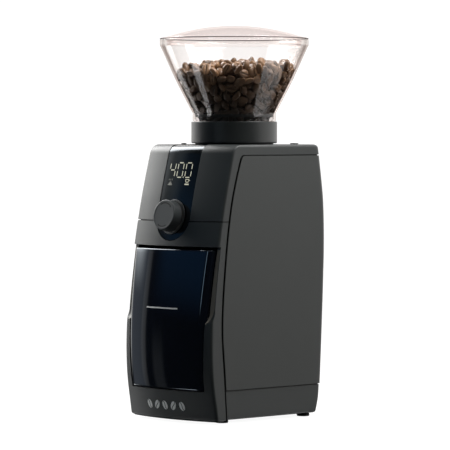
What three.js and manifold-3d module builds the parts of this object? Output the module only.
// A conical burr coffee grinder: a leaning tower body on four feet, a clear cone hopper with a domed lid,
// a turning collar that sets the grind, a dial under a time display, and a bin that pulls out at the front.
//
// Millimetres, +Z up, -Y is the front. Everything is modelled round the burr axis, which is the Z axis,
// with the table at z = 0. The last lines centre the whole grinder over its own footprint.

import * as THREE from "three";
import { mergeVertices } from "three/addons/utils/BufferGeometryUtils.js";
import Module from "manifold-3d";

const wasm = await Module();
wasm.setup();

// ---------------------------------------------------------------- driving dimensions

const FIT = 0.3; // clearance between pieces that seat in or on each other
const SLIDE_FIT = 0.6; // clearance round pieces that slide or turn

// body
const BODY_WIDTH = 117;
const WIDTH_DRAFT = 2; // the body is this much wider at the bottom than at the top
const BODY_TOP = 256.2;
const BODY_BOTTOM = 2.7;
const WALL = 3;
const PANEL_WALL = 2.5;
const FRONT_BOW = 8.6; // how far the middle of the front stands forward of its corners
const REAR_BOW = 1.6;
const FRONT_CORNER_R = 3.5;
const REAR_CORNER_R = 6;
const FRONT_TOP_R = 8;
const SIDE_TOP_R = 2.5;
const REAR_TOP_R = 4;
const BOTTOM_R = 2;
const SIDE_GAP = 2.4; // shadow gap in front of the side panels
const SEAM = 1; // shadow gap of the level seams
const BASE_INSET = 0.8;

// [height, y] of the body's corners seen from the side: front edge, front edge of the side panels, rear edge
const FRONT_EDGE = [[2.7, -77.6], [45, -83.8], [90, -84], [150, -77], [205, -66.7], [256.2, -53.8]];
const PANEL_EDGE = [[2.7, -66.5], [45, -69.3], [90, -71.9], [150, -67.1], [197, -60.2], [224, -53.4],
  [256.2, -42.6]];
const REAR_EDGE = [[2.7, 53], [18, 57], [35, 58.4], [90, 61.6], [128, 63.5], [165, 64.8], [203, 64],
  [231, 60.7], [256.2, 57]];

const SKIRT_HEIGHT = 9.4; // how far the head cover comes down at the sides
const HEAD_SEAM_Z = 185.5;
const PANEL_BOTTOM_Z = 30.4;

// bin, its bay, and the grips beside it
const BIN_WIDTH_BOTTOM = 97.6;
const BIN_WIDTH_TOP = 106.4;
const BIN_BOTTOM_Z = 30.8;
const BIN_TOP_Z = 159.6;
const BIN_BACK_Y = -34;
const BIN_WALL = 2.2;
const BIN_PROUD = 1.6;
const BIN_CORNER_R = 6;
const BAY_WALL = 1.2;
const BAY_HEADROOM = 3;
const BAY_BACK_GAP = 3;
const GRIP_BOTTOM_Z = 91.5;
const GRIP_SWEEP = 12; // radius of the curve at the foot of a grip
const GRIP_STEP = 3.1; // how far the side wall's edge is cut back at a grip

// dial and display strip
const PANEL_LEAN = THREE.MathUtils.degToRad(12);
const DIAL_Z = 189.2;
const STRIP_WIDTH = 44.4;
const STRIP_WALL = 2.2;
const STRIP_RECESS = 0.5;
const KNOB_R = 14.4;
const KNOB_FACE = 12.2; // the knob's face above the strip
const KNOB_TRAVEL = 1;
const BEZEL_R = 16.4;
const BEZEL_HEIGHT = 1;
const ENCODER_SHAFT_R = 3;
const DISPLAY_OFFSET = 44; // up the strip, from the dial to the middle of the digits
const DISPLAY_SIZE = [32, 18];

// hopper, lid and collar
const COLLAR_R = 40.5;
const COLLAR_BOTTOM_Z = 257;
const COLLAR_TOP_Z = 277.7;
const COLLAR_WALL = 2.6;
const NECK_R = 39.3;
const NECK_TOP_Z = 286;
const HOPPER_WALL = 2.4;
const HOPPER_RIM_R = 70.2;
const HOPPER_LIP = 0.5; // how far the rim stands out past the cone
const HOPPER_BEND = [0.50809, 316.4]; // [share of the way out to the rim, height] of the cone's bend
const HOPPER_CONE_TOP_Z = 348.8;
const HOPPER_SIDE = [ // [radius, height] up the cone
  [NECK_R, NECK_TOP_Z],
  [NECK_R + (HOPPER_RIM_R - NECK_R) * HOPPER_BEND[0], HOPPER_BEND[1]],
  [HOPPER_RIM_R - HOPPER_LIP, HOPPER_CONE_TOP_Z],
];
const HOPPER_RIM_Z = 355;
const LID_TOP_Z = 368.5;
const LID_WALL = 2;
const LID_SKIRT_GAP = 4.4; // between the lid's skirt and the hopper's wall
const LID_SKIRT_R = HOPPER_RIM_R - HOPPER_WALL - LID_SKIRT_GAP;
const LID_SKIRT_DEPTH = 5;

// burrs and their chamber
const CHAMBER_R = 37;
const CHAMBER_BORE_R = 31;
const CHAMBER_BOTTOM_Z = 187;
const CHAMBER_TOP_Z = 238;
const CONE_BURR_R = 19.4;
const CONE_BURR_BOTTOM_Z = 202;
const CONE_BURR_TOP_Z = 228;
const BURR_TOOTH = 1.2;
const BURR_GAP = 1.2;
const RING_BURR_R = 23.4;
const RING_BURR_HEIGHT = 14;
const SHAFT_R = 4;
const CHUTE_WIDTH = 20;

// gear train: motor pinion, idler wheel, idler pinion, output wheel
const MODULE = 1.25;
const PRESSURE_ANGLE = THREE.MathUtils.degToRad(25);
const BACKLASH = 0.24;
const MOTOR_TEETH = 10;
const IDLER_WHEEL_TEETH = 34;
const IDLER_PINION_TEETH = 12;
const OUTPUT_TEETH = 36;
const GEARBOX_FLOOR_Z = 150;
const GEARBOX_ROOF_Z = 179;
const MOTOR_Y = 33;
const MOTOR_R = 22.5;
const MOTOR_LENGTH = 64;

const FOOT_R = 6;
const FEET = [["front_left", -45, -58.5], ["front_right", 45, -58.5], ["rear_left", -48, 44],
  ["rear_right", 48, 44]];
const TOP_PLUGS = [["front", -36, -31.5, 2.6], ["rear", 38, 42, 4.1]];

// ---------------------------------------------------------------- solids from three.js shapes

/** A manifold-3d solid from a closed three.js geometry. */
function solid(geometry) {
  const bare = (geometry.index ? geometry.toNonIndexed() : geometry.clone());
  bare.deleteAttribute("normal");
  bare.deleteAttribute("uv");
  const merged = mergeVertices(bare, 1e-4);
  return new wasm.Manifold(new wasm.Mesh({
    numProp: 3,
    vertProperties: new Float32Array(merged.attributes.position.array),
    triVerts: new Uint32Array(merged.index.array),
  }));
}

/** A solid between level outlines, each {z, points}, all with the same number of points, anticlockwise. */
function loft(sections) {
  const count = sections[0].points.length;
  const positions = sections.flatMap(({ z, points }) => points.flatMap(([x, y]) => [x, y, z]));
  const index = [];
  for (let level = 0; level + 1 < sections.length; level++) {
    for (let i = 0; i < count; i++) {
      const a = level * count + i;
      const b = level * count + (i + 1) % count;
      index.push(a, b, b + count, a, b + count, a + count);
    }
  }
  const flat = (points) => points.map(([x, y]) => new THREE.Vector2(x, y));
  const cap = (points) => THREE.ShapeUtils.triangulateShape(flat(points), []);
  const top = (sections.length - 1) * count;
  cap(sections[0].points).forEach(([a, b, c]) => index.push(a, c, b));
  cap(sections.at(-1).points).forEach(([a, b, c]) => index.push(top + a, top + b, top + c));
  const geometry = new THREE.BufferGeometry();
  geometry.setAttribute("position", new THREE.Float32BufferAttribute(positions, 3));
  geometry.setIndex(index);
  return solid(geometry);
}

/** A solid of revolution about Z from a closed [radius, z] profile, anticlockwise in the (r, z) plane. */
function lathe(profile, segments = 32) {
  const onAxis = profile[0][0] === 0 && profile.at(-1)[0] === 0;
  const loop = (onAxis ? profile : [...profile, profile[0]]).map(([r, z]) => new THREE.Vector2(r, z));
  return solid(new THREE.LatheGeometry(loop, segments).rotateX(Math.PI / 2));
}

/** A cylinder about Z through (x, y), from z0 to z1. */
function rod(radius, z0, z1, x = 0, y = 0, segments = 20) {
  return lathe([[0, z0], [radius, z0], [radius, z1], [0, z1]], segments).translate([x, y, 0]);
}

/** A box between two corners. */
function block([x0, y0, z0], [x1, y1, z1]) {
  const box = new THREE.BoxGeometry(x1 - x0, y1 - y0, z1 - z0);
  return solid(box.translate((x0 + x1) / 2, (y0 + y1) / 2, (z0 + z1) / 2));
}

/** An outline in the (x, y) plane drawn up from z0 to z1. */
function prism(points, z0, z1) {
  const shape = new THREE.Shape(points.map(([x, y]) => new THREE.Vector2(x, y)));
  return solid(new THREE.ExtrudeGeometry(shape, { depth: z1 - z0, bevelEnabled: false }).translate(0, 0, z0));
}

/** An outline in the (y, z) plane drawn along X from x0 to x1. */
function prismX(points, x0, x1) {
  const shape = new THREE.Shape(points.map(([y, z]) => new THREE.Vector2(y, z)));
  const geometry = new THREE.ExtrudeGeometry(shape, { depth: x1 - x0, bevelEnabled: false });
  const toWorld = new THREE.Matrix4().makeBasis(
    new THREE.Vector3(0, 1, 0), new THREE.Vector3(0, 0, 1), new THREE.Vector3(1, 0, 0));
  return solid(geometry.applyMatrix4(toWorld).translate(x0, 0, 0));
}

/** A rectangle's outline with round corners, anticlockwise. */
function roundRect(x0, y0, x1, y1, radius, steps = 4) {
  const corners = [[x1 - radius, y0 + radius, -90], [x1 - radius, y1 - radius, 0],
    [x0 + radius, y1 - radius, 90], [x0 + radius, y0 + radius, 180]];
  return corners.flatMap(([cx, cy, start]) => arc(cx, cy, radius, start, start + 90, steps));
}

/** Points round an arc, angles in degrees. */
function arc(cx, cy, radius, from, to, steps) {
  return Array.from({ length: steps + 1 }, (_, i) => {
    const angle = THREE.MathUtils.degToRad(from + (to - from) * i / steps);
    return [cx + radius * Math.cos(angle), cy + radius * Math.sin(angle)];
  });
}

/** The convex outline round a set of circles, each [x, y, radius]. */
function hullOutline(circles, steps = 20) {
  const points = circles.flatMap(([x, y, r]) => arc(x, y, r, 0, 360 - 360 / steps, steps - 1));
  points.sort((a, b) => a[0] - b[0] || a[1] - b[1]);
  const turn = (o, a, b) => (a[0] - o[0]) * (b[1] - o[1]) - (a[1] - o[1]) * (b[0] - o[0]);
  const half = (list) => list.reduce((chain, p) => {
    while (chain.length > 1 && turn(chain.at(-2), chain.at(-1), p) <= 1e-9) chain.pop();
    return [...chain, p];
  }, []).slice(0, -1);
  return [...half(points), ...half(points.reverse())];
}

const union = (...solids) => solids.reduce((a, b) => a.add(b));
const mirrored = (piece) => piece.mirror([1, 0, 0]);

/** The dial's frame: its origin on the strip's surface, +Z out along the knob's axis, +Y up the panel. */
function dialFrame() {
  const frame = new THREE.Group();
  frame.position.set(0, frontMiddleY(DIAL_Z) + STRIP_RECESS, DIAL_Z);
  frame.rotation.x = Math.PI / 2 - PANEL_LEAN;
  frame.updateMatrix();
  return frame;
}

/** A solid drawn in the dial's frame, moved into the grinder's. */
function fromDialFrame(piece) {
  return piece.transform(dialFrame().matrix.toArray());
}

// ---------------------------------------------------------------- the body's outer form

/** A smooth curve through [height, value] points, read at z. */
function smooth(points, z) {
  let i = points.findIndex(([height]) => height >= z);
  i = Math.min(Math.max(i < 0 ? points.length - 1 : i, 1), points.length - 1);
  const slope = (k) => {
    const [a, b] = [points[Math.max(k - 1, 0)], points[Math.min(k + 1, points.length - 1)]];
    return (b[1] - a[1]) / (b[0] - a[0]);
  };
  const [[z0, v0], [z1, v1]] = [points[i - 1], points[i]];
  const h = z1 - z0;
  const t = (z - z0) / h;
  return v0 * (1 + 2 * t) * (1 - t) ** 2 + slope(i - 1) * h * t * (1 - t) ** 2
    + v1 * t * t * (3 - 2 * t) + slope(i) * h * t * t * (t - 1);
}

/** How far a rounded edge of that radius has pulled in at a distance below the edge. */
function roundOff(radius, below) {
  const reach = Math.max(radius - Math.max(below, 0), 0);
  return radius - Math.sqrt(Math.max(radius * radius - reach * reach, 0));
}

const bodyHalf = (z) => (BODY_WIDTH + WIDTH_DRAFT * (1 - 2 * z / BODY_TOP)) / 2;
const frontCornerY = (z) => smooth(FRONT_EDGE, z);
const frontMiddleY = (z) => frontCornerY(z) - FRONT_BOW;
const panelEdgeY = (z) => smooth(PANEL_EDGE, z);

/** The body's level outline at height z, drawn in by inset. */
function bodyOutline(z, inset) {
  const down = BODY_TOP - inset - z;
  const up = roundOff(BOTTOM_R, z - BODY_BOTTOM - inset);
  const shrink = (radius) => Math.max(radius - inset, 0.5);
  const half = bodyHalf(z) - inset - roundOff(shrink(SIDE_TOP_R), down) - up;
  const front = frontCornerY(z) + inset + roundOff(shrink(FRONT_TOP_R), down) + up;
  const rear = smooth(REAR_EDGE, z) - inset - roundOff(shrink(REAR_TOP_R), down) - up;
  const bow = (x, depth) => depth * (1 - (x / half) ** 2);
  const frontR = shrink(FRONT_CORNER_R);
  const rearR = shrink(REAR_CORNER_R);
  const across = (from, to, steps) =>
    Array.from({ length: steps + 1 }, (_, i) => from + (to - from) * i / steps);
  return [
    ...across(frontR - half, half - frontR, 8).map((x) => [x, front - bow(x, FRONT_BOW)]),
    ...arc(half - frontR, front + frontR, frontR, -40, 0, 2),
    ...arc(half - rearR, rear - rearR, rearR, 0, 90, 3),
    ...across(half - rearR, rearR - half, 4).slice(1, -1).map((x) => [x, rear + bow(x, REAR_BOW)]),
    ...arc(rearR - half, rear - rearR, rearR, 90, 180, 3),
    ...arc(frontR - half, front + frontR, frontR, 180, 220, 2),
  ];
}

/** The whole body as one solid, drawn in by inset. */
function envelope(inset) {
  const top = BODY_TOP - inset;
  const bottom = BODY_BOTTOM + inset;
  const straight = Array.from({ length: 11 }, (_, i) => 14 + 22 * i).filter((z) => z < top - FRONT_TOP_R);
  const levels = [bottom, bottom + BOTTOM_R * 0.4, bottom + BOTTOM_R, ...straight,
    top - FRONT_TOP_R, top - 4, top - 1.6, top - 0.4, top];
  return loft(levels.map((z) => ({ z, points: bodyOutline(z, inset) })));
}

/** Everything in front of the side panels' front edge, shifted back by offset, between two heights. */
function ahead(offset, z0, z1) {
  const steps = 12;
  const edge = Array.from({ length: steps + 1 }, (_, i) => {
    const z = z0 + (z1 - z0) * i / steps;
    return [panelEdgeY(z) + offset, z];
  });
  return prismX([[-200, z0], ...edge, [-200, z1]], -BODY_WIDTH, BODY_WIDTH);
}

const OUTER = envelope(0);
const SHELL_INNER = envelope(WALL);
const PANEL_INNER = envelope(PANEL_WALL);
const SKIRT_Z = BODY_TOP - SKIRT_HEIGHT;
const FLOOR_TOP = BODY_BOTTOM + BASE_INSET + PANEL_WALL;
const slab = (z0, z1) => block([-BODY_WIDTH, -200, z0], [BODY_WIDTH, 200, z1]);

/** A lip behind the side shadow gap, between two heights, so that the gap has a floor. */
function gapLip(inset, z0, z1) {
  const ring = envelope(inset).subtract(envelope(inset + 1.2));
  const band = ahead(SIDE_GAP + 3, z0, z1).subtract(ahead(-4, z0, z1));
  const sides = block([-BODY_WIDTH, -200, z0], [BODY_WIDTH, 0, z1])
    .subtract(block([6 - BODY_WIDTH / 2, -200, z0], [BODY_WIDTH / 2 - 6, 0, z1]));
  return ring.intersect(band).intersect(sides);
}

/** The display strip's outline as a solid: straight sides and a half round end about the dial. */
function stripCutter(grow) {
  const half = STRIP_WIDTH / 2 + grow;
  const outline = [...arc(0, 0, half, 180, 360, 20), [half, 120], [-half, 120]];
  const cutter = fromDialFrame(prism(outline, -60, 20)).subtract(block([-100, 0, 0], [100, 200, 400]));
  return cutter.subtract(rod(COLLAR_R + 1 - grow, DIAL_Z, 300, 0, 0, 40));
}

// ---------------------------------------------------------------- body shells

function headCover() {
  const region = union(
    ahead(0, HEAD_SEAM_Z + SEAM / 2, BODY_TOP + 1),
    slab(SKIRT_Z, BODY_TOP + 1),
  );
  const screwHoles = TOP_PLUGS.map(([, x, y, r]) => rod(r - 1 + FIT, BODY_TOP - 20, BODY_TOP + 1, x, y, 16));
  return OUTER.subtract(SHELL_INNER).intersect(region)
    .add(gapLip(PANEL_WALL + FIT, HEAD_SEAM_Z + 4, SKIRT_Z + 1))
    .subtract(stripCutter(FIT))
    .subtract(rod(COLLAR_R - COLLAR_WALL - FIT, BODY_TOP - 20, BODY_TOP + 1, 0, 0, 48))
    .subtract(union(...screwHoles));
}

const BAY_FLOOR_Z = BIN_BOTTOM_Z - 1;
const BAY_ROOF_Z = BIN_TOP_Z + BAY_HEADROOM;
const BAY_HALF = BIN_WIDTH_BOTTOM / 2 + SLIDE_FIT;
const binWidth = (z) => THREE.MathUtils.mapLinear(z, BIN_BOTTOM_Z, BIN_TOP_Z, BIN_WIDTH_BOTTOM, BIN_WIDTH_TOP);
const binHalf = (z) => binWidth(z) / 2;

/** The bay's drafted outline seen from the front, as a solid from y0 back to y1, grown by a wall. */
function bayForm(grow, y0, y1) {
  const corner = (z) => binHalf(z) + SLIDE_FIT + grow;
  const [low, high] = [BAY_FLOOR_Z - grow, BAY_ROOF_Z + grow];
  const outline = [[-corner(low), low], [corner(low), low], [corner(high), high], [-corner(high), high]];
  return prism(outline, -y1, -y0).rotate([90, 0, 0]);
}

/** The cut that bares the bin's side for a fingertip: the side margin's edge steps back above a curve. */
function gripCut() {
  const steps = 6;
  const sweepTop = GRIP_BOTTOM_Z + GRIP_SWEEP;
  const line = Array.from({ length: steps + 1 }, (_, i) => {
    const z = sweepTop + (BAY_ROOF_Z - sweepTop) * i / steps;
    return [frontCornerY(z) + GRIP_STEP, z];
  });
  const lip = arc(line[0][0] - GRIP_SWEEP, sweepTop, GRIP_SWEEP, -70, 0, 5);
  return prismX([[-200, GRIP_BOTTOM_Z], ...lip, ...line.slice(1), [-200, BAY_ROOF_Z]], 0, BODY_WIDTH);
}

function frontFrame() {
  const region = ahead(0, 0, HEAD_SEAM_Z - SEAM / 2);
  const opening = bayForm(0, -200, 0);
  const visorHollow = slab(BAY_ROOF_Z + WALL, HEAD_SEAM_Z + 20);
  const plinthHollow = block([-BAY_HALF, -200, BODY_BOTTOM + WALL], [BAY_HALF, 200, BAY_FLOOR_Z - WALL]);
  const hollows = union(visorHollow, plinthHollow).intersect(SHELL_INNER);
  return OUTER.intersect(region)
    .subtract(opening)
    .subtract(hollows)
    .add(gapLip(PANEL_WALL + FIT, PANEL_BOTTOM_Z + 1, HEAD_SEAM_Z - 4))
    .add(gapLip(BASE_INSET + PANEL_WALL + FIT, FLOOR_TOP, PANEL_BOTTOM_Z - 1))
    .subtract(union(gripCut(), mirrored(gripCut())))
    .subtract(stripCutter(FIT));
}

/** An (x, z) outline drawn through the front, along Y. */
function prismFront(points) {
  return prism(points, 0, 200).rotate([90, 0, 0]);
}

function sidePanel() {
  const top = SKIRT_Z - SEAM;
  const region = block([BODY_WIDTH / 2 - 12, -200, PANEL_BOTTOM_Z + SEAM / 2], [BODY_WIDTH, 200, top])
    .subtract(ahead(SIDE_GAP, 0, BODY_TOP));
  return OUTER.subtract(PANEL_INNER).intersect(region);
}

function rearPanel() {
  const half = BODY_WIDTH / 2 - 12 - SEAM / 2;
  const region = block([-half, 0, PANEL_BOTTOM_Z + SEAM / 2], [half, 200, SKIRT_Z - SEAM]);
  const vents = Array.from({ length: 8 }, (_, i) => {
    const z = 176 + 7 * i;
    return block([-24, 40, z], [24, 100, z + 3]);
  });
  return OUTER.subtract(PANEL_INNER).intersect(region).subtract(union(...vents));
}

const INLET = { x: 0, z: 17, width: 17, height: 10, depth: 13 };

function baseTray() {
  const top = PANEL_BOTTOM_Z - SEAM / 2;
  const region = slab(0, top).subtract(ahead(SIDE_GAP, 0, BODY_TOP));
  const tray = envelope(BASE_INSET).subtract(envelope(BASE_INSET + PANEL_WALL)).intersect(region);
  const hole = [INLET.width / 2 + 2 + FIT, INLET.height / 2 + 2 + FIT];
  const corner = (side, y) => [INLET.x + side * hole[0], y, INLET.z + side * hole[1]];
  const inletHole = block(corner(-1, 20), corner(1, 100));
  const footHoles = FEET.filter(([, , y]) => y > 0).map(([, x, y]) => rod(2 + FIT, 0, 10, x, y, 12));
  return tray.subtract(inletHole).subtract(union(...footHoles));
}

/** A round rubber foot, its stem pushed up into the floor above it. */
function foot(stemHoleDepth) {
  return lathe([[0, 0], [FOOT_R - 1, 0], [FOOT_R, 1], [FOOT_R, BODY_BOTTOM - FIT], [2, BODY_BOTTOM - FIT],
    [2, BODY_BOTTOM + stemHoleDepth], [0, BODY_BOTTOM + stemHoleDepth]], 16);
}

function topPlug(radius) {
  const crown = 1.1;
  return lathe([[0, -4], [radius - 1, -4], [radius - 1, FIT], [radius, FIT], [radius, crown * 0.6],
    [radius * 0.7, crown], [0, crown + 0.1]], 16);
}

// ---------------------------------------------------------------- bin and bay

/** The bin's level outline at height z, drawn in by inset: a bowed front, round corners, a flat back. */
function binOutline(z, inset) {
  const half = binHalf(z) - inset;
  const frontAt = (x) => frontCornerY(z) - FRONT_BOW * (1 - (x / bodyHalf(z)) ** 2) - BIN_PROUD + inset;
  const cornerR = BIN_CORNER_R - inset;
  const front = Array.from({ length: 11 }, (_, i) => {
    const x = (half - cornerR) * (i / 5 - 1);
    return [x, frontAt(x)];
  });
  const cornerY = frontAt(half - cornerR) + cornerR;
  return [
    ...front,
    ...arc(half - cornerR, cornerY, cornerR, -60, 0, 3),
    ...arc(half - cornerR, BIN_BACK_Y - BIN_CORNER_R, cornerR, 0, 90, 3),
    ...arc(cornerR - half, BIN_BACK_Y - BIN_CORNER_R, cornerR, 90, 180, 3),
    ...arc(cornerR - half, cornerY, cornerR, 180, 240, 3),
  ];
}

function groundsBin() {
  const levels = (from, to, inset) => {
    const steps = 6;
    return Array.from({ length: steps + 1 }, (_, i) => {
      const z = from + (to - from) * i / steps;
      return { z, points: binOutline(z, inset) };
    });
  };
  return loft(levels(BIN_BOTTOM_Z, BIN_TOP_Z, 0))
    .subtract(loft(levels(BIN_BOTTOM_Z + BIN_WALL, BIN_TOP_Z + 5, BIN_WALL)));
}

const BAY_BACK_Y = BIN_BACK_Y + BAY_BACK_GAP;
const CHUTE_Y = -50;

function binBay() {
  const outer = bayForm(BAY_WALL, -100, BAY_BACK_Y + BAY_WALL);
  const inner = bayForm(0, -110, BAY_BACK_Y);
  const chuteHole = block(
    [-CHUTE_WIDTH / 2, CHUTE_Y - 9, BAY_ROOF_Z - 5],
    [CHUTE_WIDTH / 2, CHUTE_Y + 9, BAY_ROOF_Z + 5],
  );
  return outer.subtract(inner).subtract(ahead(SIDE_GAP + 3 + FIT, 0, BODY_TOP)).subtract(chuteHole);
}

// ---------------------------------------------------------------- gear train

const GEAR_AXIS = { output: [0, 0], motor: [0, MOTOR_Y], idler: idlerPlace() };

/** Where the idler runs: in mesh with both the output wheel and the motor pinion. */
function idlerPlace() {
  const toOutput = MODULE * (OUTPUT_TEETH + IDLER_PINION_TEETH) / 2;
  const toMotor = MODULE * (MOTOR_TEETH + IDLER_WHEEL_TEETH) / 2;
  const y = (toOutput ** 2 - toMotor ** 2 + MOTOR_Y ** 2) / (2 * MOTOR_Y);
  return [Math.sqrt(toOutput ** 2 - y ** 2), y];
}

/** An involute gear's outline with a tooth centred on the angle phase. */
function gearOutline(teeth, phase) {
  const pitchR = MODULE * teeth / 2;
  const baseR = pitchR * Math.cos(PRESSURE_ANGLE);
  const tipR = pitchR + 0.8 * MODULE;
  const rootR = pitchR - 1.05 * MODULE;
  const involute = (r) => {
    const a = Math.acos(Math.min(baseR / r, 1));
    return Math.tan(a) - a;
  };
  const atPitch = Math.PI / (2 * teeth) - BACKLASH / (2 * pitchR) + involute(pitchR);
  const flank = [Math.max(rootR, baseR), tipR].map((r) => [r, atPitch - involute(r)]);
  flank[0][0] = rootR;
  const tooth = [...flank.map(([r, a]) => [r, -a]), ...flank.reverse()];
  return Array.from({ length: teeth }, (_, k) => tooth.map(([r, a]) => {
    const angle = phase + 2 * Math.PI * k / teeth + a;
    return [r * Math.cos(angle), r * Math.sin(angle)];
  })).flat();
}

const heading = (from, to) => Math.atan2(to[1] - from[1], to[0] - from[0]);
const TO_IDLER = heading(GEAR_AXIS.output, GEAR_AXIS.idler);
const TO_MOTOR = heading(GEAR_AXIS.idler, GEAR_AXIS.motor);
const GEAR_Z = { wheel: 158.5, step: 165.5, output: 168, top: 176 };

function outputGear() {
  const hub = rod(9, GEAR_Z.output, GEAR_Z.top + 1.5, 0, 0, 24);
  const webZ = [GEAR_Z.output + 3, GEAR_Z.top + 5];
  const web = lathe([[10, webZ[0]], [18, webZ[0]], [18, webZ[1]], [10, webZ[1]]], 32);
  return prism(gearOutline(OUTPUT_TEETH, TO_IDLER), GEAR_Z.output, GEAR_Z.top).subtract(web)
    .add(hub).subtract(rod(SHAFT_R + FIT, 100, 250));
}

function idlerGear() {
  const wheel = prism(gearOutline(IDLER_WHEEL_TEETH, TO_MOTOR), GEAR_Z.wheel, GEAR_Z.step);
  const pinionPhase = TO_IDLER + Math.PI + Math.PI / IDLER_PINION_TEETH;
  const pinion = prism(gearOutline(IDLER_PINION_TEETH, pinionPhase), GEAR_Z.step - 1, GEAR_Z.top);
  return union(wheel, pinion).subtract(rod(2.5 + FIT, 100, 250));
}

function motorPinion() {
  const phase = TO_MOTOR + Math.PI + Math.PI / MOTOR_TEETH;
  return prism(gearOutline(MOTOR_TEETH, phase), GEAR_Z.wheel - 1.5, GEAR_Z.step + 1.5)
    .subtract(rod(2.5 + FIT, 100, 250, 0, 0, 16));
}

const GEARBOX_CIRCLES = (grow) => [[...GEAR_AXIS.output, OUTPUT_TEETH * MODULE / 2 + 5 + grow],
  [...GEAR_AXIS.idler, IDLER_WHEEL_TEETH * MODULE / 2 + 5 + grow], [...GEAR_AXIS.motor, 19 + grow]];
const BUSH_R = 6.9;
const MOTOR_SCREWS = [[-8, MOTOR_Y - 8], [-8, MOTOR_Y + 8]];

function gearboxBase() {
  const floorTop = GEARBOX_FLOOR_Z + 3;
  const tray = prism(hullOutline(GEARBOX_CIRCLES(0)), GEARBOX_FLOOR_Z, GEARBOX_ROOF_Z - FIT)
    .subtract(prism(hullOutline(GEARBOX_CIRCLES(-2.5)), floorTop, GEARBOX_ROOF_Z + 1));
  const idlerBoss = rod(5, floorTop - 1, GEAR_Z.wheel - SLIDE_FIT, ...GEAR_AXIS.idler, 20);
  const bushBoss = rod(BUSH_R + 2, floorTop - 1, floorTop + 3.5, ...GEAR_AXIS.output, 24);
  const screwHoles = MOTOR_SCREWS.map(([x, y]) => rod(1.5 + FIT, 140, 160, x, y, 12));
  return union(tray, idlerBoss, bushBoss)
    .subtract(rod(2.5 + FIT, floorTop - 1.5, 170, ...GEAR_AXIS.idler, 16))
    .subtract(rod(BUSH_R + FIT, GEARBOX_FLOOR_Z + 1, 170))
    .subtract(rod(SHAFT_R + SLIDE_FIT, 140, 170))
    .subtract(rod(8, 140, 170, ...GEAR_AXIS.motor))
    .subtract(union(...screwHoles));
}

const BEARING_R = 11;

function gearboxCover() {
  return prism(hullOutline(GEARBOX_CIRCLES(0)), GEARBOX_ROOF_Z, GEARBOX_ROOF_Z + 2.5)
    .add(rod(BEARING_R + 2.5, GEARBOX_ROOF_Z, CHAMBER_BOTTOM_Z - FIT, 0, 0, 32))
    .subtract(rod(BEARING_R + FIT, GEARBOX_ROOF_Z - 1, CHAMBER_BOTTOM_Z - 1.2, 0, 0, 32))
    .subtract(rod(BEARING_R - 2.5, GEARBOX_ROOF_Z - 1, CHAMBER_BOTTOM_Z + 2, 0, 0, 32))
    .subtract(rod(2.5 + FIT, GEARBOX_ROOF_Z - 1, GEARBOX_ROOF_Z + 1.2, ...GEAR_AXIS.idler, 16));
}

const bush = () => lathe([[SHAFT_R + FIT, GEARBOX_FLOOR_Z + 1 + FIT], [BUSH_R, GEARBOX_FLOOR_Z + 1 + FIT],
  [BUSH_R, GEARBOX_FLOOR_Z + 6.8], [SHAFT_R + FIT, GEARBOX_FLOOR_Z + 6.8]], 24);
const bearing = () => lathe([[SHAFT_R + FIT, GEARBOX_ROOF_Z - FIT], [BEARING_R, GEARBOX_ROOF_Z - FIT],
  [BEARING_R, GEARBOX_ROOF_Z + 6.4], [SHAFT_R + FIT, GEARBOX_ROOF_Z + 6.4]], 32);
const idlerPin = () => rod(2.5, GEARBOX_FLOOR_Z + 2, GEARBOX_ROOF_Z + 0.8, ...GEAR_AXIS.idler, 16);

function motor() {
  const top = GEARBOX_FLOOR_Z - FIT;
  const bottom = top - MOTOR_LENGTH;
  return lathe([[0, bottom - 6], [6, bottom - 6], [6, bottom], [MOTOR_R - 2, bottom], [MOTOR_R, bottom + 3],
    [MOTOR_R, top], [3.2, top], [3.2, top - 12], [0, top - 12]], 36).translate([0, MOTOR_Y, 0])
    .subtract(union(...MOTOR_SCREWS.map(([x, y]) => rod(1.5 + FIT, top - 6, top + 1, x, y, 12))));
}

const motorShaft = () => rod(2.5, GEARBOX_FLOOR_Z - 11, GEAR_Z.step + 2.5, 0, MOTOR_Y, 16);

/** A pan-head screw, head at the top, its underside at z = 0. */
function screw(shankR, headR, length) {
  return lathe([[0, -length], [shankR, -length], [shankR, 0], [headR, 0], [headR, 1.3], [headR * 0.7, 1.9],
    [0, 1.9]], 12);
}

// ---------------------------------------------------------------- burrs

/** A toothed ring outline: radius at the tips, tooth depth, number of teeth, turn in radians. */
function toothedOutline(radius, depth, teeth, turn) {
  return Array.from({ length: teeth * 2 }, (_, i) => {
    const r = i % 2 ? radius - depth : radius;
    const angle = turn + Math.PI * (i + (i % 2 ? 0.35 : 0)) / teeth;
    return [r * Math.cos(angle), r * Math.sin(angle)];
  });
}

const BURR_TEETH = 18;
// [share of the cone's height, share of its radius]
const CONE_FORM = [[0, 1], [0.25, 0.98], [0.5, 0.84], [0.75, 0.62], [1, 0.46]];
const coneRadius = (z) => CONE_BURR_R * smooth(CONE_FORM,
  (z - CONE_BURR_BOTTOM_Z) / (CONE_BURR_TOP_Z - CONE_BURR_BOTTOM_Z));

/** A toothed, tapering, gently spiralled solid that stands off the cone by gap. */
function burrForm(z0, z1, gap) {
  const steps = 5;
  return loft(Array.from({ length: steps + 1 }, (_, i) => {
    const z = z0 + (z1 - z0) * i / steps;
    return { z, points: toothedOutline(coneRadius(z) + gap, BURR_TOOTH, BURR_TEETH, (z - z0) * 0.02) };
  }));
}

const coneBurr = () => burrForm(CONE_BURR_BOTTOM_Z, CONE_BURR_TOP_Z, 0)
  .subtract(rod(SHAFT_R + FIT, 190, 240));

const RING_BURR_Z = CONE_BURR_BOTTOM_Z + 6;

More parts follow.
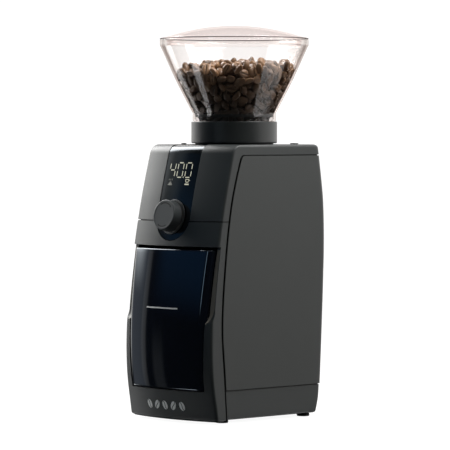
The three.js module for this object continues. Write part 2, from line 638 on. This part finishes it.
function ringBurr() {
  const top = RING_BURR_Z + RING_BURR_HEIGHT;
  return rod(RING_BURR_R, RING_BURR_Z, top, 0, 0, 36)
    .subtract(burrForm(RING_BURR_Z - 1, top + 1, BURR_GAP + BURR_TOOTH));
}

const CARRIER_TRAVEL = 0.6;

/** The cup that holds the ring burr. Its key slides in the chamber's slot, so it rises but can't turn. */
function ringBurrCarrier() {
  const r = CHAMBER_BORE_R - SLIDE_FIT;
  const top = CHAMBER_TOP_Z - 2;
  const bottom = RING_BURR_Z - 3;
  const seat = RING_BURR_R + FIT;
  return lathe([[seat - 1.6, bottom], [r - 2, bottom], [r, bottom + 2], [r, top], [seat - 1, top],
    [seat - 1, RING_BURR_Z + RING_BURR_HEIGHT + FIT], [seat, RING_BURR_Z + RING_BURR_HEIGHT + FIT],
    [seat, RING_BURR_Z - FIT], [seat - 1.6, RING_BURR_Z - FIT]])
    .add(block([-3, r - 2, bottom + 4], [3, CHAMBER_BORE_R + 2.4, top - 8]));
}

function burrChamber() {
  const floor = CHAMBER_BOTTOM_Z + 3;
  const slot = block(
    [-3 - SLIDE_FIT, 20, RING_BURR_Z - 3],
    [3 + SLIDE_FIT, CHAMBER_BORE_R + 3.4, CHAMBER_TOP_Z + 1],
  );
  const outlet = block([-CHUTE_WIDTH / 2, -60, floor], [CHUTE_WIDTH / 2, -20, floor + 13]);
  return lathe([[9, CHAMBER_BOTTOM_Z], [CHAMBER_R, CHAMBER_BOTTOM_Z], [CHAMBER_R, CHAMBER_TOP_Z],
    [CHAMBER_BORE_R, CHAMBER_TOP_Z], [CHAMBER_BORE_R, floor], [9, floor]]).subtract(slot).subtract(outlet);
}

/** The wheel under the cone burr that sweeps the grounds round to the outlet. */
function paddleWheel() {
  const bottom = CHAMBER_BOTTOM_Z + 4;
  const blade = block([-1.2, 8, bottom + 2], [1.2, CHAMBER_BORE_R - 1.5, bottom + 9]);
  const blades = Array.from({ length: 6 }, (_, i) => blade.rotate([0, 0, 60 * i + 30]));
  return lathe([[SHAFT_R + FIT, bottom], [CHAMBER_BORE_R - 2, bottom], [CHAMBER_BORE_R - 2, bottom + 2.4],
    [11, bottom + 2.4], [11, CONE_BURR_BOTTOM_Z - FIT], [SHAFT_R + FIT, CONE_BURR_BOTTOM_Z - FIT]], 36)
    .add(union(...blades));
}

const shaftSeal = () => lathe([[SHAFT_R + SLIDE_FIT, CHAMBER_BOTTOM_Z + FIT], [9 - FIT, CHAMBER_BOTTOM_Z + FIT],
  [9 - FIT, CHAMBER_BOTTOM_Z + 2.6], [SHAFT_R + SLIDE_FIT, CHAMBER_BOTTOM_Z + 2.6]], 24);
const burrShaft = () => rod(SHAFT_R, GEARBOX_FLOOR_Z + 1.6, CONE_BURR_TOP_Z + 6);
const burrNut = () => rod(6.4, CONE_BURR_TOP_Z + FIT, CONE_BURR_TOP_Z + 4.8, 0, 0, 6)
  .subtract(rod(SHAFT_R + FIT, 220, 240));

/** The sloped duct from the chamber's outlet down to the roof of the bin bay. */
function groundsChute() {
  const half = CHUTE_WIDTH / 2 - FIT;
  const mouthZ = BAY_ROOF_Z + BAY_WALL - 4;
  const outer = [[-CHAMBER_R - FIT, CHAMBER_BOTTOM_Z - 1], [-CHAMBER_R - FIT, CHAMBER_BOTTOM_Z + 15],
    [CHUTE_Y - 8, CHAMBER_BOTTOM_Z + 6], [CHUTE_Y - 8.5, mouthZ], [CHUTE_Y + 8.5, mouthZ], [CHUTE_Y + 8, 178]];
  const inner = [[-20, CHAMBER_BOTTOM_Z + 3], [-20, CHAMBER_BOTTOM_Z + 13], [-38, CHAMBER_BOTTOM_Z + 13],
    [CHUTE_Y - 6, CHAMBER_BOTTOM_Z + 4.5], [CHUTE_Y - 6.5, mouthZ - 5], [CHUTE_Y + 6.5, mouthZ - 5], [CHUTE_Y + 6, 180]];
  return prismX(outer.reverse(), -half, half).subtract(prismX(inner.reverse(), 2 - half, half - 2));
}

// ---------------------------------------------------------------- collar, hopper and lid

const SLEEVE_R = COLLAR_R - COLLAR_WALL - FIT - SLIDE_FIT;
const SLEEVE_BORE_R = SLEEVE_R - 3.5;
const PLUG_SEAT_Z = COLLAR_BOTTOM_Z + 5;
const SLEEVE_BOTTOM_Z = CHAMBER_TOP_Z + 8;

function adjustCollar() {
  const bore = COLLAR_R - COLLAR_WALL;
  return lathe([[SLEEVE_BORE_R, SLEEVE_BOTTOM_Z], [SLEEVE_R, SLEEVE_BOTTOM_Z], [SLEEVE_R, COLLAR_BOTTOM_Z],
    [COLLAR_R - 1.4, COLLAR_BOTTOM_Z], [COLLAR_R - 0.4, COLLAR_BOTTOM_Z + 0.4], [COLLAR_R, COLLAR_BOTTOM_Z + 1.4],
    [COLLAR_R, COLLAR_TOP_Z - 0.8], [COLLAR_R - 0.8, COLLAR_TOP_Z], [bore, COLLAR_TOP_Z], [bore, PLUG_SEAT_Z],
    [SLEEVE_BORE_R, PLUG_SEAT_Z]], 44);
}

const adjustRing = () => lathe([[SLEEVE_BORE_R - 4, CHAMBER_TOP_Z + CARRIER_TRAVEL + 0.6],
  [SLEEVE_R, CHAMBER_TOP_Z + CARRIER_TRAVEL + 0.6], [SLEEVE_R, SLEEVE_BOTTOM_Z - FIT],
  [SLEEVE_BORE_R - 4, SLEEVE_BOTTOM_Z - FIT]], 32);

function hopper() {
  const plugR = COLLAR_R - COLLAR_WALL - FIT;
  const shoulderZ = COLLAR_TOP_Z + FIT;
  const neckBore = NECK_R - HOPPER_WALL;
  const plugBore = plugR - HOPPER_WALL;
  const coneTop = HOPPER_SIDE.at(-1)[1];
  const inside = HOPPER_SIDE.slice(1).reverse().map(([r, z]) => [r - HOPPER_WALL, z]);
  return lathe([[plugBore, PLUG_SEAT_Z + FIT], [plugR, PLUG_SEAT_Z + FIT], [plugR, shoulderZ], [NECK_R, shoulderZ],
    ...HOPPER_SIDE, [HOPPER_RIM_R, coneTop + 1],
    [HOPPER_RIM_R, HOPPER_RIM_Z], [HOPPER_RIM_R - HOPPER_WALL, HOPPER_RIM_Z],
    [HOPPER_RIM_R - HOPPER_WALL, coneTop + 1], ...inside, [neckBore, NECK_TOP_Z - 1],
    [neckBore, shoulderZ + 2], [plugBore, shoulderZ]], 44);
}

const hopperGasket = () => lathe([[NECK_R - HOPPER_WALL - 3.6, NECK_TOP_Z - 4.4],
  [NECK_R - HOPPER_WALL - FIT, NECK_TOP_Z - 4.4], [NECK_R - HOPPER_WALL - FIT, NECK_TOP_Z - 1.2],
  [NECK_R - HOPPER_WALL - 3.6, NECK_TOP_Z - 1.2]], 36);

/** A thin dome with a flange that rests on the hopper's rim and a skirt that drops inside it. */
function hopperLid() {
  const flangeZ = HOPPER_RIM_Z + FIT;
  const edgeZ = flangeZ + 0.9;
  const rise = LID_TOP_Z - edgeZ;
  const domeR = (HOPPER_RIM_R ** 2 + rise ** 2) / (2 * rise);
  const dome = (r, drop) => Math.sqrt((domeR - drop) ** 2 - r * r) + LID_TOP_Z - domeR;
  const outside = Array.from({ length: 7 }, (_, i) => HOPPER_RIM_R * (1 - i / 6)).map((r) => [r, dome(r, 0)]);
  const inside = Array.from({ length: 4 }, (_, i) => (LID_SKIRT_R - LID_WALL) * i / 3)
    .map((r) => [r, dome(r, LID_WALL)]);
  return lathe([...inside, [LID_SKIRT_R - LID_WALL, HOPPER_RIM_Z - LID_SKIRT_DEPTH],
    [LID_SKIRT_R, HOPPER_RIM_Z - LID_SKIRT_DEPTH], [LID_SKIRT_R, flangeZ], [HOPPER_RIM_R, flangeZ], ...outside], 44);
}

// ---------------------------------------------------------------- dial, strip and electronics

function controlFascia() {
  return envelope(STRIP_RECESS).subtract(envelope(STRIP_RECESS + STRIP_WALL)).intersect(stripCutter(-FIT))
    .subtract(fromDialFrame(rod(ENCODER_SHAFT_R + SLIDE_FIT + 1, -20, 20)));
}

// the pieces below are drawn in the dial's frame

const knobBezel = () => lathe([[KNOB_R - 2.5, FIT + 0.3], [BEZEL_R, FIT + 0.3], [BEZEL_R - 0.5, BEZEL_HEIGHT],
  [KNOB_R - 2.5, BEZEL_HEIGHT]], 32);

function knobBody() {
  const foot0 = BEZEL_HEIGHT + KNOB_TRAVEL + 0.4;
  const shell = lathe([[0, KNOB_FACE - 5], [3 + 2, KNOB_FACE - 5], [5, foot0 + 1], [6.5, foot0 + 1],
    [6.5, KNOB_FACE - 2.5], [KNOB_R - 2, KNOB_FACE - 2.5], [KNOB_R - 2, foot0], [KNOB_R, foot0],
    [KNOB_R - 0.2, KNOB_FACE - 1.2], [KNOB_R - 1.4, KNOB_FACE], [KNOB_R - 2, KNOB_FACE], [KNOB_R - 2.4, KNOB_FACE - 0.4],
    [0, KNOB_FACE - 0.4]], 32);
  return shell.subtract(rod(ENCODER_SHAFT_R + FIT, 0, KNOB_FACE - 3));
}

const ENCODER = { size: 12, top: -5.5, bottom: -13 };
const encoderShaft = () => rod(ENCODER_SHAFT_R, ENCODER.bottom + KNOB_TRAVEL + 0.4, KNOB_FACE - 3.4);
const rotaryEncoder = () => prism(roundRect(-6, -6, 6, 6, 0.6, 1), ENCODER.bottom, ENCODER.top)
  .subtract(rod(ENCODER_SHAFT_R + SLIDE_FIT, ENCODER.bottom - 1, 0));
const controlBoard = () => prism(roundRect(-19, -12, 19, DISPLAY_OFFSET + 13, 2, 2), ENCODER.bottom - 1.9,
  ENCODER.bottom - FIT).subtract(rod(ENCODER_SHAFT_R + SLIDE_FIT, -30, 0));

function displayModule() {
  const [w, h] = DISPLAY_SIZE;
  return block([-w / 2, DISPLAY_OFFSET - h / 2, ENCODER.bottom + FIT], [w / 2, DISPLAY_OFFSET + h / 2, -5.5]);
}

// ---------------------------------------------------------------- chassis and power

function chassis() {
  const half = BAY_HALF - 1.4;
  const y0 = BAY_BACK_Y + BAY_WALL + FIT;
  const floor = FLOOR_TOP + FIT;
  const shelfTop = GEARBOX_FLOOR_Z - FIT;
  const leg = block([half - 6, 40, floor], [half, 49, shelfTop]);
  return union(
    block([-half, y0, floor], [half, y0 + 3, shelfTop]),
    block([-half, y0, shelfTop - 3], [half, 49, shelfTop]),
    leg, mirrored(leg),
  ).subtract(rod(MOTOR_R + 1.5, 100, 200, 0, MOTOR_Y, 36));
}

function powerBoard() {
  const z = FLOOR_TOP + 5;
  return union(
    prism(roundRect(-38, 2, 38, 38, 2, 2), z, z + 1.6),
    block([-30, 8, z + 1], [-4, 32, z + 26]),
    rod(7, z + 1, z + 30, 12, 26, 20),
    block([22, 8, z + 1], [34, 20, z + 14]),
    ...[[-33, 6], [33, 6], [-33, 34], [33, 34]].map(([x, y]) => rod(2.5, FLOOR_TOP + FIT, z + 1, x, y, 12)),
  );
}

/** A two pin mains socket set in the back of the base. */
function powerInlet() {
  const { x, z, width, height, depth } = INLET;
  const faceY = smooth(REAR_EDGE, z) + REAR_BOW - BASE_INSET;
  const outline = (grow) => roundRect(x - width / 2 - grow, z - height / 2 - grow, x + width / 2 + grow,
    z + height / 2 + grow, height / 2 + grow - 0.2, 5);
  const box = prismFront(outline(2)).intersect(block([-50, -depth - 3, 0], [50, 0, 60]));
  const hollow = prismFront(outline(0)).intersect(block([-50, -depth, 0], [50, 5, 60]));
  const pin = block([-1.2, -depth - 1, -1.2], [1.2, -4.5, 1.2]);
  const pins = [-4.3, 4.3].map((side) => pin.translate([x + side, 0, z]));
  return box.subtract(hollow).add(union(...pins)).translate([0, faceY, 0]);
}

// ---------------------------------------------------------------- materials

const finish = (color, roughness, metalness = 0) => new THREE.MeshStandardMaterial({ color, roughness, metalness });
const clear = (color, opacity) => new THREE.MeshStandardMaterial({ color, roughness: 0.08, transparent: true, opacity });
const FINISHES = {
  body: finish(0x3c3f40, 0.55),
  panel: finish(0x474b4c, 0.5),
  gloss: finish(0x0b0d10, 0.15),
  collar: finish(0x262829, 0.45),
  knob: finish(0x303335, 0.5),
  clear: clear(0xe9dfdc, 0.3),
  smoke: clear(0x14161c, 0.85),
  rubber: finish(0x151515, 0.9),
  steel: finish(0x9a9b9c, 0.35, 1),
  bronze: finish(0x8c6f4a, 0.5, 1),
  plastic: finish(0x1b1c1d, 0.6),
  nylon: finish(0xd8d4c8, 0.5),
  felt: finish(0xb9b4a8, 0.95),
  board: finish(0x1f4a33, 0.5),
};

const grinder = new THREE.Group();

/** Adds a named piece, from a solid, to a group. */
function add(name, piece, finishName, parent = grinder) {
  const { vertProperties, triVerts, numProp } = piece.getMesh();
  const geometry = new THREE.BufferGeometry();
  const positions = new THREE.InterleavedBuffer(new Float32Array(vertProperties), numProp);
  geometry.setAttribute("position", new THREE.InterleavedBufferAttribute(positions, 3, 0));
  geometry.setIndex(new THREE.BufferAttribute(new Uint32Array(triVerts), 1));
  const mesh = new THREE.Mesh(geometry, FINISHES[finishName]);
  mesh.name = name;
  parent.add(mesh);
  return mesh;
}

// ---------------------------------------------------------------- assembly

add("base_tray", baseTray(), "body");
add("front_frame", frontFrame(), "body");
add("head_cover", headCover(), "body");
add("side_panel_right", sidePanel(), "panel");
add("side_panel_left", mirrored(sidePanel()), "panel");
add("rear_panel", rearPanel(), "panel");
add("bin_bay", binBay(), "plastic");
add("chassis", chassis(), "plastic");
add("grounds_bin", groundsBin(), "smoke");

add("control_fascia", controlFascia(), "gloss");
const dial = dialFrame();
grinder.add(dial);
add("knob_bezel", knobBezel(), "collar", dial);
add("knob", knobBody(), "knob", dial);
add("encoder_shaft", encoderShaft(), "steel", dial);
add("rotary_encoder", rotaryEncoder(), "steel", dial);
add("control_board", controlBoard(), "board", dial);
add("display_module", displayModule(), "plastic", dial);

add("adjust_collar", adjustCollar(), "collar");
add("adjust_ring", adjustRing(), "plastic");
add("hopper", hopper(), "clear");
add("hopper_gasket", hopperGasket(), "rubber");
add("hopper_lid", hopperLid(), "clear");

add("burr_chamber", burrChamber(), "plastic");
add("ring_burr_carrier", ringBurrCarrier(), "plastic");
add("ring_burr", ringBurr(), "steel");
add("cone_burr", coneBurr(), "steel");
add("burr_nut", burrNut(), "steel");
add("paddle_wheel", paddleWheel(), "nylon");
add("burr_shaft", burrShaft(), "steel");
add("shaft_seal", shaftSeal(), "felt");
add("grounds_chute", groundsChute(), "plastic");

add("gearbox_base", gearboxBase(), "plastic");
add("gearbox_cover", gearboxCover(), "plastic");
add("shaft_bearing", bearing(), "steel");
add("shaft_bush", bush(), "bronze");
add("output_gear", outputGear(), "nylon");
const idler = add("idler_gear", idlerGear(), "nylon");
idler.position.set(...GEAR_AXIS.idler, 0);
add("idler_pin", idlerPin(), "steel");
const pinion = add("motor_pinion", motorPinion(), "bronze");
pinion.position.set(...GEAR_AXIS.motor, 0);
add("motor_shaft", motorShaft(), "steel");
add("motor", motor(), "steel");
MOTOR_SCREWS.forEach(([x, y], i) => {
  const piece = add(`motor_screw_${i + 1}`, screw(1.5, 3, 7), "steel");
  piece.position.set(x, y, GEARBOX_FLOOR_Z + 3 + FIT);
});
add("power_board", powerBoard(), "board");
add("power_inlet", powerInlet(), "plastic");

for (const [place, x, y] of FEET) {
  const piece = add(`foot_${place}`, foot(y > 0 ? 3 : -FIT), "rubber");
  piece.position.set(x, y, 0);
}
for (const [place, x, y, r] of TOP_PLUGS) {
  const piece = add(`top_plug_${place}`, topPlug(r), "rubber");
  piece.position.set(x, y, BODY_TOP);
}

// the frame's origin: on the table, under the middle of the grinder's bounding box
const box = new THREE.Box3().setFromObject(grinder);
grinder.position.y = -(box.min.y + box.max.y) / 2;

export default grinder;
